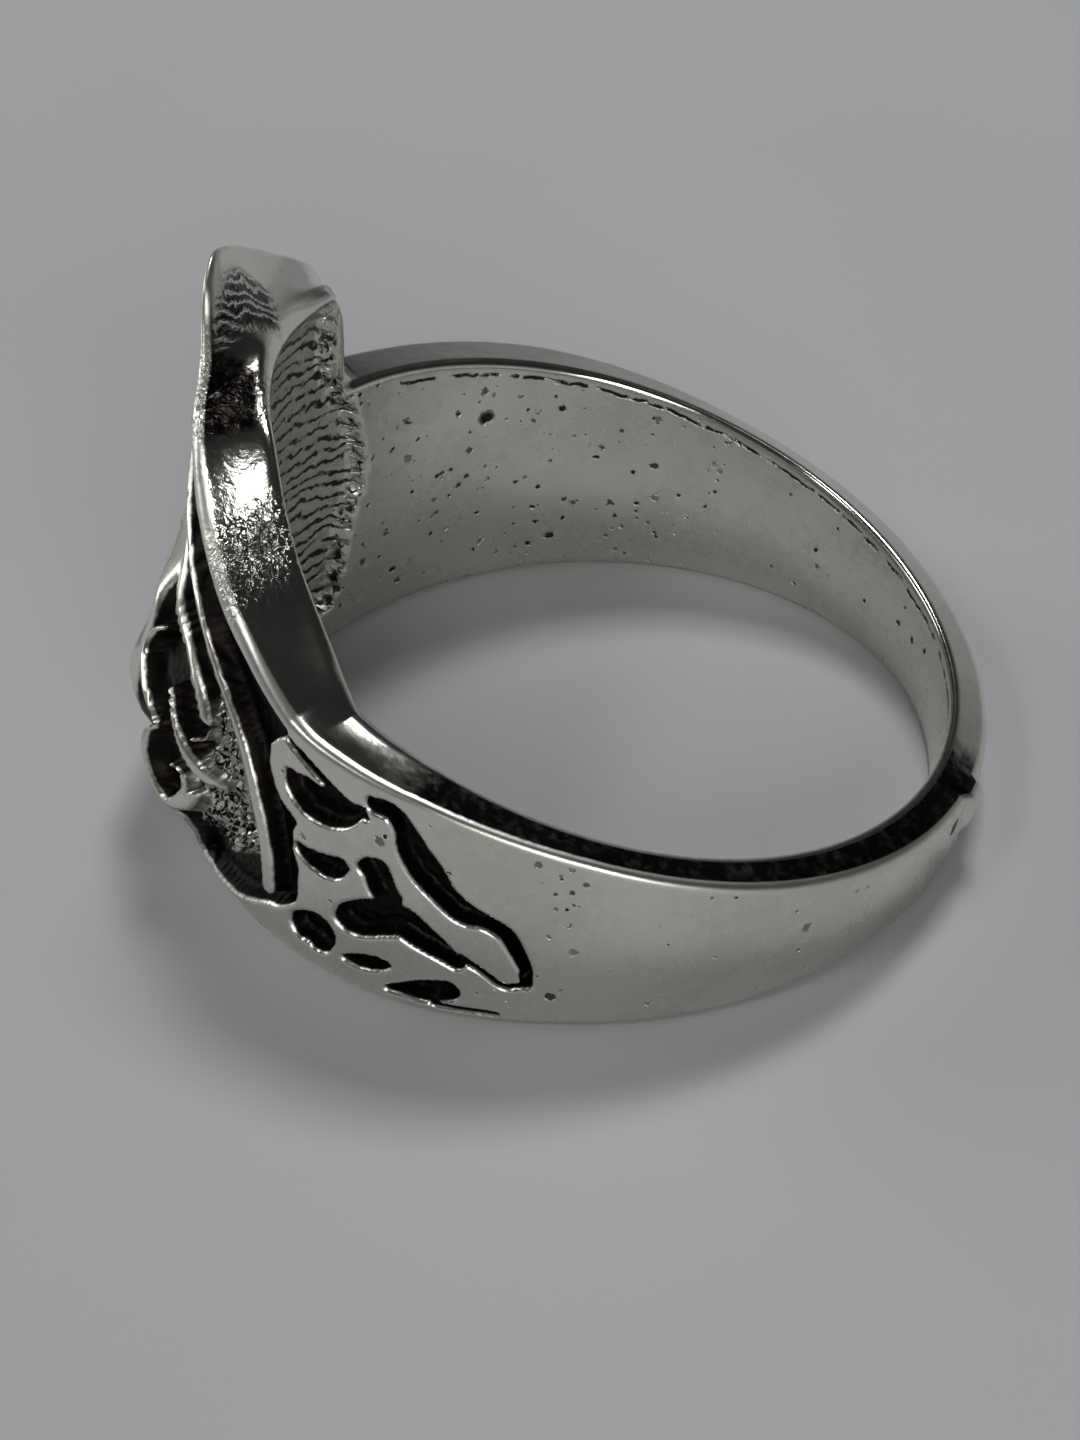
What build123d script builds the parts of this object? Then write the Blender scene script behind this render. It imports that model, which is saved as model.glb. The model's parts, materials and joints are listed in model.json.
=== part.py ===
from build123d import *
import math
import os

# A cast finger ring, one solid, resting on its tapered lower rim.
# It is drawn first about its own bore axis (Z), head towards -Y, back of the band towards +Y,
# then turned so that the plane of the lower rim lies level at height zero.
# Angles run from the middle of the head (0) round the side facing +X (90) to the back (180).

# driving sizes of the band, in millimetres and degrees
bore_radius = 9.5
band_wall = 1.15
upper_half_width = 2.8
lower_half_width = 3.1
half_width_taper = 1.65
rim_round = 0.3

# driving sizes of the head plate
head_thickness = 1.95
head_height = 10.7
crest_bevel = 0.45
foot_bevel = 1.3
foot_tuck = 0.3
seat_lift = 0.45
core_depth = 1.2
section_floor = -8.0

# driving sizes of the face relief
face_half_width = 7.6
face_half_height = 4.6
face_projection = 3.0
face_centre_height = 0.0
socket_radius = 1.35
socket_spacing = 4.3
socket_rise = 1.2
socket_inset = 0.17
nose_radius = 0.55
nose_drop = 0.75
nose_stretch = 1.5
nose_depth = 0.7
tooth_gap = 0.22
tooth_pitch = 0.72
tooth_row_height = 1.6
tooth_drop = 2.55
tooth_cut_length = 1.2
tooth_steps = (-3, -2, -1, 0, 1, 2, 3)

# driving sizes of the hollow behind the head
hollow_depth = 0.45
hollow_half_angle = 26.0
hollow_top = 7.3
hollow_bottom = -2.9

# driving sizes of the grooves and pockets
groove_radius = 0.38
groove_end_swell = 0.03
relief_depth = 0.62
shoulder_swell = 0.6
sweep_bite = 0.13
plate_groove_bite = 0.27
pocket_clearance = 1.0
least_foot_share = 0.3
near_shoulder_drop = 0.25
far_shoulder_drop = 1.2

# driving sizes of the gate at the back
gate_angle = 169.0
gate_width = 0.8
gate_projection = 0.12
gate_length = 1.5

core_radius = bore_radius - core_depth
band_radius = bore_radius + band_wall
foot_radius = band_radius - foot_tuck
head_radius = bore_radius + head_thickness
rim_slope = half_width_taper / bore_radius
rest_tilt = math.degrees(math.atan(rim_slope))
clear_span = 3.0 * head_radius
groove_end_radius = groove_radius + groove_end_swell

# Sections of the head plate, from the far edge round to the near shoulder.
# Each line: angle in degrees, height of the inner edge and of the outer edge as shares of
# head_height, and thickness as a share of head_thickness.
head_sections = [
    (-30.0, 0.28, 0.28, 0.55),
    (-27.0, 0.42, 0.48, 0.80),
    (-23.0, 0.66, 0.74, 0.92),
    (-18.0, 0.76, 0.82, 0.97),
    (-10.0, 0.78, 0.90, 1.00),
    (-2.0, 0.79, 0.97, 1.00),
    (5.0, 0.80, 1.00, 1.00),
    (11.0, 0.80, 0.94, 1.00),
    (18.0, 0.79, 0.82, 1.02),
    (26.0, 0.77, 0.70, 1.04),
    (36.0, 0.68, 0.58, 1.02),
    (46.0, 0.58, 0.48, 0.96),
    (56.0, 0.44, 0.39, 0.86),
    (66.0, 0.33, 0.32, 0.70),
    (78.0, 0.27, 0.27, 0.60),
]

# Grooves of the near side of the plate, each a run of points given as angle in degrees and
# height as a share of head_height.
plate_grooves = [
    [(29.0, 0.60), (37.0, 0.48), (46.0, 0.37), (53.0, 0.22), (57.0, 0.02), (58.5, -0.14)],
    [(22.0, 0.56), (30.0, 0.45), (39.0, 0.30), (46.0, 0.16), (51.0, -0.02), (53.0, -0.2)],
]

# Pockets of the shoulder. Each line: angle and height of the middle, half length along the band,
# half height, and how far the long axis is turned, all lengths as shares of lower_half_width.
shoulder_pockets = [
    (61.5, 0.56, 0.33, 0.17, -14.0),
    (62.0, 0.00, 0.26, 0.13, 18.0),
    (62.0, -0.82, 0.21, 0.24, 0.0),
    (71.0, -0.82, 0.30, 0.11, 12.0),
    (70.5, 0.12, 0.15, 0.30, 0.0),
    (75.0, -0.32, 0.56, 0.17, -12.0),
    (79.0, -0.90, 0.34, 0.11, 4.0),
]

# Sections of the swelling on each shoulder: angle, and thickness as a share of shoulder_swell.
shoulder_sections = [(24.0, 0.7), (40.0, 0.75), (55.0, 0.9), (70.0, 0.8), (85.0, 0.45), (103.0, -0.2)]

# The long groove that bounds the shoulder relief: angle, and height as a share of lower_half_width.
shoulder_sweep = [(72.5, 0.92), (75.5, 0.66), (81.0, 0.42), (87.0, 0.12), (92.0, -0.12), (94.0, -0.42)]


def round_axis(radius, angle, height):
    a = math.radians(angle)
    return Vector(radius * math.sin(a), -radius * math.cos(a), height)


def radial_plane(radius, angle, height):
    a = math.radians(angle)
    return Plane(
        origin=round_axis(radius, angle, height),
        x_dir=(math.cos(a), math.sin(a), 0),
        z_dir=(math.sin(a), -math.cos(a), 0),
    )


def half_space_above(mid_height, slope):
    """A block whose lower face is the plane height = mid_height - slope * y."""
    block = Box(clear_span, clear_span, clear_span, align=(Align.CENTER, Align.CENTER, Align.MIN))
    tilt = Rotation(-math.degrees(math.atan(slope)), 0, 0)
    return Pos(0, 0, mid_height) * tilt * block


def make_band():
    """The hoop: a tube between two planes that lean apart towards the head."""
    tube = Cylinder(band_radius, 2 * clear_span)
    tube = tube - half_space_above(upper_half_width, rim_slope)
    keep = half_space_above(-lower_half_width, -rim_slope)
    hoop = tube & keep
    hoop = hoop - Cylinder(bore_radius, 2 * clear_span)
    rims = hoop.edges().filter_by(lambda e: e.length > math.pi * bore_radius)
    return fillet(rims, rim_round)


def upper_rim(angle):
    return upper_half_width + half_width_taper * math.cos(math.radians(angle))


def lower_rim(angle):
    return -lower_half_width - half_width_taper * math.cos(math.radians(angle))


def head_face(angle, inner_share, outer_share, thick_share):
    """One radial section of the head plate, from inside the bore out to the front."""
    outer = bore_radius + head_thickness * thick_share
    bevel = crest_bevel * thick_share
    inner_z = head_height * inner_share
    outer_z = head_height * outer_share
    slope = (outer_z - inner_z) / (outer - bevel - bore_radius)
    core_z = inner_z + slope * (core_radius - bore_radius)
    foot_z = lower_rim(angle) + rim_round
    corners = [
        round_axis(core_radius, angle, section_floor),
        round_axis(foot_radius, angle, section_floor),
        round_axis(foot_radius, angle, foot_z),
        round_axis(outer, angle, foot_z + foot_bevel),
        round_axis(outer, angle, outer_z - bevel),
        round_axis(outer - bevel, angle, outer_z),
        round_axis(core_radius, angle, core_z),
    ]
    return Face(Wire.make_polygon(corners, close=True))


def make_head():
    """The plate that stands up from the front of the band."""
    return loft([head_face(*line) for line in head_sections])


def make_face():
    """A plain domed skull on the hidden front of the head."""
    dome = scale(Sphere(1.0), by=(face_half_width, face_projection + band_wall, face_half_height))
    dome = Pos(0, -bore_radius + band_wall, face_centre_height) * dome
    return dome


def face_surface_y(x, z):
    """Where the front of the dome lies above a point x, z of the face."""
    a = x / face_half_width
    c = (z - face_centre_height) / face_half_height
    reach = math.sqrt(1.0 - a * a - c * c)
    return -bore_radius + band_wall - (face_projection + band_wall) * reach


def face_cuts():
    """Eye sockets, nose and the gaps between the teeth."""
    cuts = []
    eye_z = face_centre_height + socket_rise
    for side in (-1, 1):
        eye_x = side * socket_spacing / 2
        eye_y = face_surface_y(eye_x, eye_z) - socket_inset
        cuts.append(Pos(eye_x, eye_y, eye_z) * Sphere(socket_radius))
    nose_z = face_centre_height - nose_drop
    nose = Plane(origin=(0, face_surface_y(0, nose_z) + nose_depth, nose_z), z_dir=(0, -1, 0))
    cuts.append(extrude(nose * Ellipse(nose_radius, nose_stretch * nose_radius), 2 * nose_depth))
    tooth_z = face_centre_height - tooth_drop
    for step in tooth_steps:
        tooth_x = step * tooth_pitch
        slot = Box(tooth_gap, tooth_cut_length, tooth_row_height)
        cuts.append(Pos(tooth_x, face_surface_y(tooth_x, tooth_z), tooth_z) * slot)
    return cuts


def swept_groove(points, radius, side):
    """A round-bottomed groove that follows points on the outside of the ring."""
    path = Spline([round_axis(radius, side * a, z) for a, z in points])
    start = Plane(origin=path @ 0, z_dir=path % 0)
    cutter = sweep(start * Circle(groove_radius), path)
    ends = [Pos(path @ t) * Sphere(groove_end_radius) for t in (0, 1)]
    return [cutter] + ends


def shoulder_blank(side, drop):
    """The swelling of the shoulder that carries the pockets."""
    faces = []
    for angle, share in shoulder_sections:
        outer = band_radius + shoulder_swell * share
        top = upper_rim(angle) - rim_round - drop * abs(share)
        foot_z = lower_rim(angle) + rim_round
        corners = [
            round_axis(core_radius, side * angle, section_floor),
            round_axis(foot_radius, side * angle, section_floor),
            round_axis(foot_radius, side * angle, foot_z),
            round_axis(outer, side * angle, foot_z + foot_bevel * max(share, least_foot_share)),
            round_axis(outer, side * angle, top),
            round_axis(core_radius, side * angle, upper_rim(angle) - rim_round),
        ]
        faces.append(Face(Wire.make_polygon(corners, close=True)))
    return loft(faces)


def shoulder_cuts(side):
    """Oval pockets and the long sweeping groove of one shoulder."""
    cuts = []
    outer = band_radius + shoulder_swell
    for angle, height, long_share, tall_share, turn in shoulder_pockets:
        plane = radial_plane(outer + pocket_clearance, side * angle, height * lower_half_width)
        a = long_share * lower_half_width
        b = tall_share * lower_half_width
        outline = plane * Rot(0, 0, side * turn) * Ellipse(a, b)
        cuts.append(extrude(outline, -(pocket_clearance + relief_depth)))
    line = [(a, h * lower_half_width) for a, h in shoulder_sweep]
    cuts += swept_groove(line, band_radius + groove_radius - sweep_bite, side)
    return cuts


def make_hollow():
    """The shallow hollow behind the head, a shell of the bore cut a little deeper."""
    drum = Cylinder(bore_radius + hollow_depth, hollow_top - hollow_bottom)
    drum = Pos(0, 0, (hollow_top + hollow_bottom) / 2) * drum
    reach = 2 * head_radius
    half = math.radians(hollow_half_angle)
    left = (-reach * math.sin(half), -reach * math.cos(half))
    right = (reach * math.sin(half), -reach * math.cos(half))
    sector = extrude(Face(Wire.make_polygon([(0, 0), right, left], close=True)), clear_span, both=True)
    return drum & sector


def make_gate():
    """The stub left where the casting was cut from its tree."""
    depth = gate_projection + band_wall / 2
    stub = Box(gate_width, depth, gate_length)
    middle = round_axis(band_radius + gate_projection - depth / 2, gate_angle, 0)
    return Pos(middle) * Rot(0, 0, gate_angle) * stub


def trimmed(block):
    """A front block bored through and cut level a little above the lower rim, inside the band."""
    block = block & half_space_above(seat_lift - lower_half_width, -rim_slope)
    return block - Cylinder(bore_radius, 2 * clear_span)


def make_ring():
    """The hoop and its front blocks joined, then every recess cut."""
    ring = make_band() + trimmed(make_head())
    ring = ring + trimmed(shoulder_blank(1, near_shoulder_drop))
    ring = ring + trimmed(shoulder_blank(-1, far_shoulder_drop))
    ring = ring + trimmed(make_face()) + make_gate()
    cutters = face_cuts() + shoulder_cuts(1) + shoulder_cuts(-1)
    for points in plate_grooves:
        line = [(angle, share * head_height) for angle, share in points]
        cutters += swept_groove(line, head_radius + groove_radius - plate_groove_bite, 1)
    for cutter in cutters:
        ring = ring - cutter
    return ring - make_hollow()


def lay_down(ring):
    """Turn the lower rim level, then put the middle of the footprint at the origin."""
    ring = Rot(-rest_tilt, 0, 0) * ring
    box = ring.bounding_box()
    return Pos(-box.center().X, -box.center().Y, -box.min.Z) * ring


os.makedirs("parts", exist_ok=True)
export_step(lay_down(make_ring()), "parts/cast_ring.step")
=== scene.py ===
import json
import math

import bpy
import numpy as np
from bpy.props import FloatProperty, FloatVectorProperty, IntProperty, PointerProperty
from mathutils import Matrix, Vector


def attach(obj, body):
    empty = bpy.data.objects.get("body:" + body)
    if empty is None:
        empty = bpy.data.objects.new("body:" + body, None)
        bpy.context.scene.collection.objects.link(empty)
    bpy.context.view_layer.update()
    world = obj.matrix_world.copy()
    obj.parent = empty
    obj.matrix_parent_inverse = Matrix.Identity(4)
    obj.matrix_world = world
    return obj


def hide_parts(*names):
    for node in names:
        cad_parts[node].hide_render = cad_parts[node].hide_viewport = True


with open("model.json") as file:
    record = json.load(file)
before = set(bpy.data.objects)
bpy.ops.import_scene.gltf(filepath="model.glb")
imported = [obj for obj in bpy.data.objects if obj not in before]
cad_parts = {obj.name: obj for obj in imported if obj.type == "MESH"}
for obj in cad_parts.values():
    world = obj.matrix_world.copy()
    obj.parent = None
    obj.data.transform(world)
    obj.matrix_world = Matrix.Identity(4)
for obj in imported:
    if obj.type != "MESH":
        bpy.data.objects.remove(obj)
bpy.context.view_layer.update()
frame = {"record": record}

bl_info = {
    "name": "Cast skull ring",
    "version": (1, 0, 0),
    "blender": (4, 5, 0),
    "location": "3D View > Sidebar > Ring",
    "description": "Builds a cast finger ring with an antiqued relief head on its CAD frame",
    "category": "Object",
}

MM = 0.001

# The ring is drawn about its own bore axis in millimetres, head towards -Y, and then laid down
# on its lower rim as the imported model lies. The bore mount of the record gives that placing, and
# its point lies a little below the middle of the drawing.
bore_mount = next(m for m in frame["record"]["mounts"] if m["kind"] == "bore")
BORE_RADIUS = bore_mount["dims"]["r_mm"]
BORE_AXIS = Vector(bore_mount["axis"])
MOUNT_HEIGHT = -0.15
RING_ORIGIN = Vector(bore_mount["pos_m"]) - BORE_AXIS * MOUNT_HEIGHT * MM
REST_TILT = -math.atan2(BORE_AXIS.y, BORE_AXIS.z)

# Heights of the band's rims above and below the bore's middle, and how they lean apart. The outer
# edge of the upper rim falls below the inner one on the far side and stands above it on the near.
UPPER_RIM = 3.1
LOWER_RIM = -3.1
RIM_TAPER = 1.65
RIM_FALL = 0.4
RIM_NEAR_RISE = 0.1
BAND_RADIUS = BORE_RADIUS + 1.15
FOOT_RADIUS = BORE_RADIUS + 0.6
# Rounding of the rims' edges, and how much more of it the plate has.
RIDGE_ROUND = 0.3
RIDGE_ROUND_MORE = 0.12
CREST_ROUND = 0.26
CREST_ROUND_MORE = 0.07
FOOT_EDGE_ROUND = 0.3

# Where the head plate begins, how far its far end leans round the ring in degrees, how hollow its edge
# is, and over how many degrees it runs out into the near rim.
PLATE_START = -24
PLATE_LEAN = -6.5
PLATE_LEAN_ANGLE = -20
PLATE_SAG = 0.04
PLATE_SAG_MORE = 0.12
PLATE_RUNOUT = 8

# Height of the inner ridge of the plate by angle. Past both ends it is the plain rim.
INNER_RIDGE = [
    (-23, 4.32), (-22, 4.9), (-20.5, 6.7), (-19, 7.7), (-16, 8.25), (-8, 8.35), (0, 8.5), (10, 8.6),
    (20, 8.5), (25, 8.4), (30, 8.05), (36, 7.35), (40, 6.8), (45, 6.2), (50, 5.6), (54, 5.0),
    (57, 4.45), (62, 3.75), (68, 3.42), (76, 3.2),
]
# Height of the outer crest of the plate by angle.
OUTER_CREST = [
    (-31, 4.22), (-30, 4.7), (-28.5, 5.7), (-27, 6.7), (-25, 7.5), (-21, 8.2), (-16, 8.8), (-11, 9.4),
    (-5, 10.1), (0, 10.6), (5, 10.9), (9, 10.6), (12, 9.8), (16, 8.9), (20, 8.2), (25, 7.6), (29, 6.95),
    (33, 6.45), (38, 5.9), (43, 5.4), (48, 5.0), (52, 4.6), (56, 4.2), (60, 3.85), (66, 3.5), (76, 3.2),
]
# Radius of the polished outer skin by angle, before the bulge of the face.
OUTER_SKIN = [
    (-180, 10.65), (-104, 10.65), (-90, 10.8), (-75, 11.05), (-60, 11.2), (-40, 11.2), (-27, 11.35),
    (-15, 11.45), (50, 11.45), (60, 11.4), (68, 11.25), (76, 11.05), (84, 10.88), (92, 10.74),
    (100, 10.66), (108, 10.65), (180, 10.65),
]
# Height over which the outer skin rounds in to the foot, by angle.
FOOT_ROUND = [
    (-180, 0.7), (-95, 0.7), (-80, 0.8), (-60, 1.2), (0, 1.5), (45, 1.6), (58, 1.3), (68, 0.85),
    (80, 0.5), (95, 0.35), (150, 0.35), (180, 0.7),
]
# The bulge of the face: an ellipsoid about a point in front of the bore.
FACE_DEPTH = -8.35
FACE_HEIGHT = -0.6
FACE_HALF_WIDTH = 8.0
FACE_REACH = 4.15
FACE_HALF_HEIGHT = 5.1

# The swelling at the tip of the plate, the neck below it, and the low hump with beaten skin round it.
TIP_ANGLE = 7
TIP_HEIGHT = 9.5
TIP_SWELL = 0.02
NECK_ANGLE = 15
NECK_HEIGHT = 8
NECK_DEPTH = 0.12
HUMP_ANGLE = 29
HUMP_HALF_WIDTH = 4.5
HUMP_RISE = 0.06
# Folds at the tip: the way they follow each other in the row frame, and their lean round the ring in
# degrees for each millimetre outwards.
FOLD_WAY = (-0.60, -0.16, 0.78)
FOLD_LEAN = 8
# The filed stub of the casting gate at the back, and the crack beside it.
GATE_ANGLE = 169
GATE_RISE = 0.2
GATE_CRACK = [(162, .95, .05), (163, .6, .08), (162.4, .25, .06), (161.5, -.1, .03)]

# Relief. Each run of points is angle in degrees, height and half width in millimetres. The ground keeps
# the least wall before the bore, and there is none past its end angle.
SKIN_RADIUS = 11.3
GROUND_DEPTH = 0.6
POCKET_DEPTH = 0.5
WALL_SOFTNESS = 0.07
CURL_RISE = 0.12
LEAST_WALL = 0.4
GROUND_END = 78

RAISED_BARS = {
    "long bar": [(0, 6.7, .18), (9, 6.1, .18), (18, 5.1, .17), (25, 4.55, .17), (30, 4.15, .16),
        (35.5, 3.65, .17), (40, 3.2, .19), (44, 2.75, .19), (47.6, 2.15, .2), (50.1, 1.5, .21),
        (52, .8, .22), (54, -.05, .23), (55.3, -.9, .25), (56, -1.7, .25)],
    "short bar": [(0, 4.9, .16), (6, 4.5, .16), (11, 3.8, .16), (16, 3.0, .17), (21, 2.55, .18),
        (26, 2.45, .18), (30, 2.35, .17), (33.4, 2.1, .17), (37, 1.75, .19), (39.4, 1.35, .17)],
    "upper curl": [(24.5, 1.95, .08), (22.4, 1.5, .13), (22.8, .95, .15), (26.5, .65, .15),
        (30.5, .52, .12), (33.6, .45, .09)],
    "stem": [(32.4, 1.35, .08), (35, .95, .1), (37.5, .58, .14), (40.2, .2, .19), (42.6, -.06, .2),
        (45.2, -.1, .1)],
    "drop edge": [(37.9, 1.75, .05), (39.7, 1.4, .05), (40.6, .95, .06), (39.2, .72, .09)],
    "lower curl": [(33.8, .32, .09), (32.0, -.1, .12), (31.2, -.8, .14), (32.2, -1.5, .14), (35, -1.95, .2),
        (37.5, -1.75, .2)],
    "curl eye": [(37.2, -.35, .06), (39.2, -.3, .08), (39.9, -.75, .09), (38.6, -1.3, .12)],
    "cheek": [(37.5, -1.75, .22), (39.5, -1.35, .28), (41.4, -.8, .16)],
    "cheek fall": [(37, -2.2, .3), (35.5, -2.9, .45), (34.5, -3.6, .5)],
}
# The edge between the low ground of the head and the polished skin of the shoulder.
SHOULDER_EDGE = [
    (-2.6, 56.5), (-2.2, 57.0), (-1.9, 58.8), (-1.3, 61.0), (-.35, 60.8), (.3, 59.6), (.8, 59.4),
    (1.15, 59.9), (1.5, 57.0), (2.0, 55.2), (2.5, 54.3), (3.1, 54.8), (3.6, 57.0),
]
# The lower edge of that ground, height by angle.
GROUND_FOOT = [
    (0, -3.9), (30, -3.85), (36, -3.75), (41, -3.6), (45, -3.35), (50, -2.95), (54, -2.45), (57, -2.1),
    (61, -1.9),
]
CUT_POCKETS = {
    "gap under the crest": [(57.6, 3.5, .06), (60.1, 3.33, .09), (62.5, 3.12, .1), (64.7, 2.9, .1),
        (67.1, 2.68, .09), (69.8, 2.5, .07)],
    "crook pocket": [(58.5, 2.45, .2), (59.8, 2.25, .42), (62.5, 2.2, .6), (65.4, 2.28, .52),
        (68.0, 2.5, .24), (69.3, 2.66, .1)],
    "lens": [(61.1, .4, .16), (63, .32, .25), (65.6, .36, .33), (67.2, .6, .2)],
    "link": [(70.4, .88, .16), (72.3, .9, .42), (73.4, .45, .42), (74.2, .1, .3)],
    "long pocket": [(68.3, -1.12, .2), (70, -.95, .48), (73, -.58, .55), (76, -.38, .5), (79, -.66, .42),
        (82, -.95, .3), (84.2, -1.22, .18)],
    "round hole": [(62.8, -2.1, .42), (64.8, -1.95, .5), (65.2, -2.25, .36)],
    "oval hole": [(69.4, -2.38, .08), (71.6, -2.27, .2), (73.6, -2.14, .2), (75.1, -2.05, .08)],
    "foot lens": [(75.6, -2.82, .06), (77.6, -2.68, .17), (80.5, -2.5, .32), (83.4, -2.28, .32)],
    "foot line": [(82, -2.85, .05), (86, -2.76, .045), (90.5, -2.67, .035)],
    "outer groove": [(70.9, 3.02, .22), (73.4, 2.98, .24), (75.4, 2.5, .3), (76.6, 2.0, .42),
        (78.6, 1.5, .46), (81, .98, .36), (84, .55, .34), (87, .42, .22), (89.8, .15, .2),
        (91.6, -.35, .17), (93.1, -.95, .15), (93.6, -1.45, .12)],
    "groove under the bar": [(84.6, -1.0, .1), (87.5, -1.25, .05), (90.6, -1.62, .06), (93.2, -1.5, .07)],
}
RAISED_AGAIN = {
    "crook arm": [(55.2, 2.9, .2), (57.2, 3.08, .22), (60, 3.02, .18), (62, 2.9, .13), (63.6, 2.8, .06)],
    "finger bar": [(72.9, 1.5, .06), (74.6, 1.1, .16), (76.4, .7, .3), (79.2, .3, .34), (82.5, -.02, .3),
        (86, -.35, .36), (89.2, -.72, .4), (91.2, -1.1, .3)],
}
# The wrinkled ground between the curls, and a lightly pitted spot below the outer groove.
ROUGH_PATCH = [
    (40.8, 1.9, .35), (43.0, .9, .5), (44.6, .1, .65), (44.8, -.6, .9), (44, -1.4, .9), (46.5, -1.3, .75),
    (50.4, -1.0, .4), (52.6, -1.5, .25),
]
ROUGH_LEVEL = 0.45
ROUGH_LIGHT = [(85.3, -2.05, .5), (88.5, -1.95, .5), (90, -1.95, .45)]

# The plain skull, in millimetres. Each feature has its place across, measured round the face at this
# radius, and up, then its half width and half height.
SKULL_RADIUS = 12.3
SKULL_REACH = 4.6
SKULL_MIDDLE = -0.3
SOCKET = (2.15, 1.05, 1.45, 1.2)
NOSE = (0.34, -0.75, 0.36, 0.78)
CHEEK = (3.4, -0.75, 1.0, 0.45)
CHEEK_HOLLOW = (3.3, -2.2, 0.9, 0.7)
JAW_HALF_WIDTH = 2.5
TEETH_FOOT = -3.35
TEETH_TOP = -1.75
MOUTH_HEIGHT = -2.55
TOOTH_WIDTH = 0.72

# The masks that the finish reads, and how much painted dark reflection darkens the flat of the near rim and
# of the plate above and below the hump.
MASK_NAMES = ("soot_and_painted_dark", "rough", "hollow", "beaten", "wrinkled", "course", "pitted", "below_rim", "gloss")
RIM_PAINTED_DARK = 0.26
# How far below the far rim the painted shadow line of the rim's inner edge runs, and the mask's value where
# there is no line.
RIM_SHADOW_DROP = 0.45
FAR_FROM_RIM = 9

# Small casting pits: cells in a metre, least size and its spread as shares of a cell, and the share of
# cells with a pit where the metal is fully pitted.
SMALL_PITS = [(1500, 0.23, 0.2, 0.6), (3100, 0.25, 0.2, 0.6), (700, 0.18, 0.1, 0.25)]
# The largest pits of the bore: angle, height and radius in millimetres, and how far their edges stray.
LARGE_PITS = [
    (-54.7, 2.1, .3), (-49, 2.35, .1), (-35.7, 1.75, .08), (-46.3, .25, .09), (-55.4, -1.4, .1),
    (-66, -1.3, .09), (-67, -1.9, .1), (-66.5, -2.7, .12), (-76.5, .65, .11), (-85.3, -.8, .09),
    (-98, .25, .08), (-121, .05, .09), (-38.7, -2.9, .14), (-46.3, -1.9, .09), (-144.4, .1, .12),
    (-149.7, .15, .13), (-154.5, .4, .12), (-124.4, 1.15, .07),
]
PIT_STRAY = 0.22

# Hollow behind the head: its far edge (angle by height), its other edges and its depth, and the
# slope of the pour lines in millimetres for each degree from their middle.
HOLLOW_EDGE = [
    (-3.2, -25.0), (-1.9, -25.5), (-.9, -26.5), (.5, -28.0), (1.2, -28.5), (2.6, -27.5), (4.3, -23.0),
    (5.7, -18.0), (7.0, -17.5), (8.2, -17.0),
]
HOLLOW_NEAR_EDGE = 25.0
HOLLOW_FOOT = -3.1
HOLLOW_DEPTH = 0.42
RIDGE_LAND = 0.4
COURSE_SLOPE = -0.042
COURSE_ANGLE = -22

# Mesh density: angle steps by angle, and rows of each strip of the section.
ANGLE_STEPS = [(-180, -100, 2.0), (-100, -34, 0.9), (-34, -15, 0.4), (-15, 16, 0.6), (16, 95, 0.31),
               (95, 110, 0.75), (110, 163, 2.0), (163, 175, 0.5), (175, 180, 1.0)]
BORE_ROWS = 36
RIDGE_ROWS = 5
TOP_ROWS = 16
CREST_ROWS = 9
WALL_ROWS = 106
FOOT_ROWS = 6
FOOT_EDGE_ROWS = 3

# The lights stand this far from the ring, in metres.
LIGHT_DISTANCE = 0.6


def curve_through(x, points):
    """A smooth curve through points (x, y) that never overshoots them."""
    xs = np.array([p[0] for p in points], float)
    ys = np.array([p[1] for p in points], float)
    rise = np.diff(ys) / np.diff(xs)
    slope = np.zeros_like(xs)
    slope[0], slope[-1] = rise[0], rise[-1]
    product = rise[:-1] * rise[1:]
    total = np.where(product > 0, rise[:-1] + rise[1:], 1.0)
    slope[1:-1] = np.where(product > 0, 2 * product / total, 0.0)
    x = np.clip(np.asarray(x, float), xs[0], xs[-1])
    i = np.clip(np.searchsorted(xs, x) - 1, 0, len(xs) - 2)
    h = xs[i + 1] - xs[i]
    t = (x - xs[i]) / h
    start = ys[i] * (1 + 2 * t) * (1 - t) ** 2 + slope[i] * h * t * (1 - t) ** 2
    return start + ys[i + 1] * t * t * (3 - 2 * t) + slope[i + 1] * h * t * t * (t - 1)


def soft_step(x, width):
    """0 below -width, 1 above width, smooth between."""
    t = np.clip((np.asarray(x, float) / width + 1) / 2, 0, 1)
    return t * t * (3 - 2 * t)


def between(x, low, high, low_width, high_width):
    """1 from low to high and 0 outside, with a soft edge of its own width at each end."""
    return soft_step(x - low, low_width) * soft_step(high - x, high_width)


def bell(x, middle, half_width):
    """1 at the middle, falling away smoothly on both sides."""
    return np.exp(-((x - middle) / half_width) ** 2)


def soft_max(a, b, width):
    """The larger of two fields, blended over width."""
    h = np.clip(0.5 + 0.5 * (a - b) / width, 0, 1)
    return a * h + b * (1 - h) + width * h * (1 - h)


def upper_rim(angle, radius=BAND_RADIUS):
    """Height of the plane of the upper rim."""
    return UPPER_RIM + RIM_TAPER * radius / BORE_RADIUS * np.cos(np.radians(angle))


def lower_rim(angle, radius=FOOT_RADIUS):
    """Height of the plane of the lower rim, which lies on the floor."""
    return LOWER_RIM - RIM_TAPER * radius / BORE_RADIUS * np.cos(np.radians(angle))


def plate_edge(angle, points, radius=BAND_RADIUS):
    """Height of one edge of the plate, or of the plain rim past the plate's ends."""
    start, end = points[0][0], points[-1][0]
    rim = upper_rim(angle, radius)
    edge = curve_through(angle, points)
    near_end = soft_step(angle - (end - PLATE_RUNOUT), PLATE_RUNOUT)
    edge = edge * (1 - near_end) + rim * near_end
    on_plate = (angle > start) & (angle < end + PLATE_RUNOUT)
    return np.where(on_plate, np.maximum(edge, rim - 0.02), rim)


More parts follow.
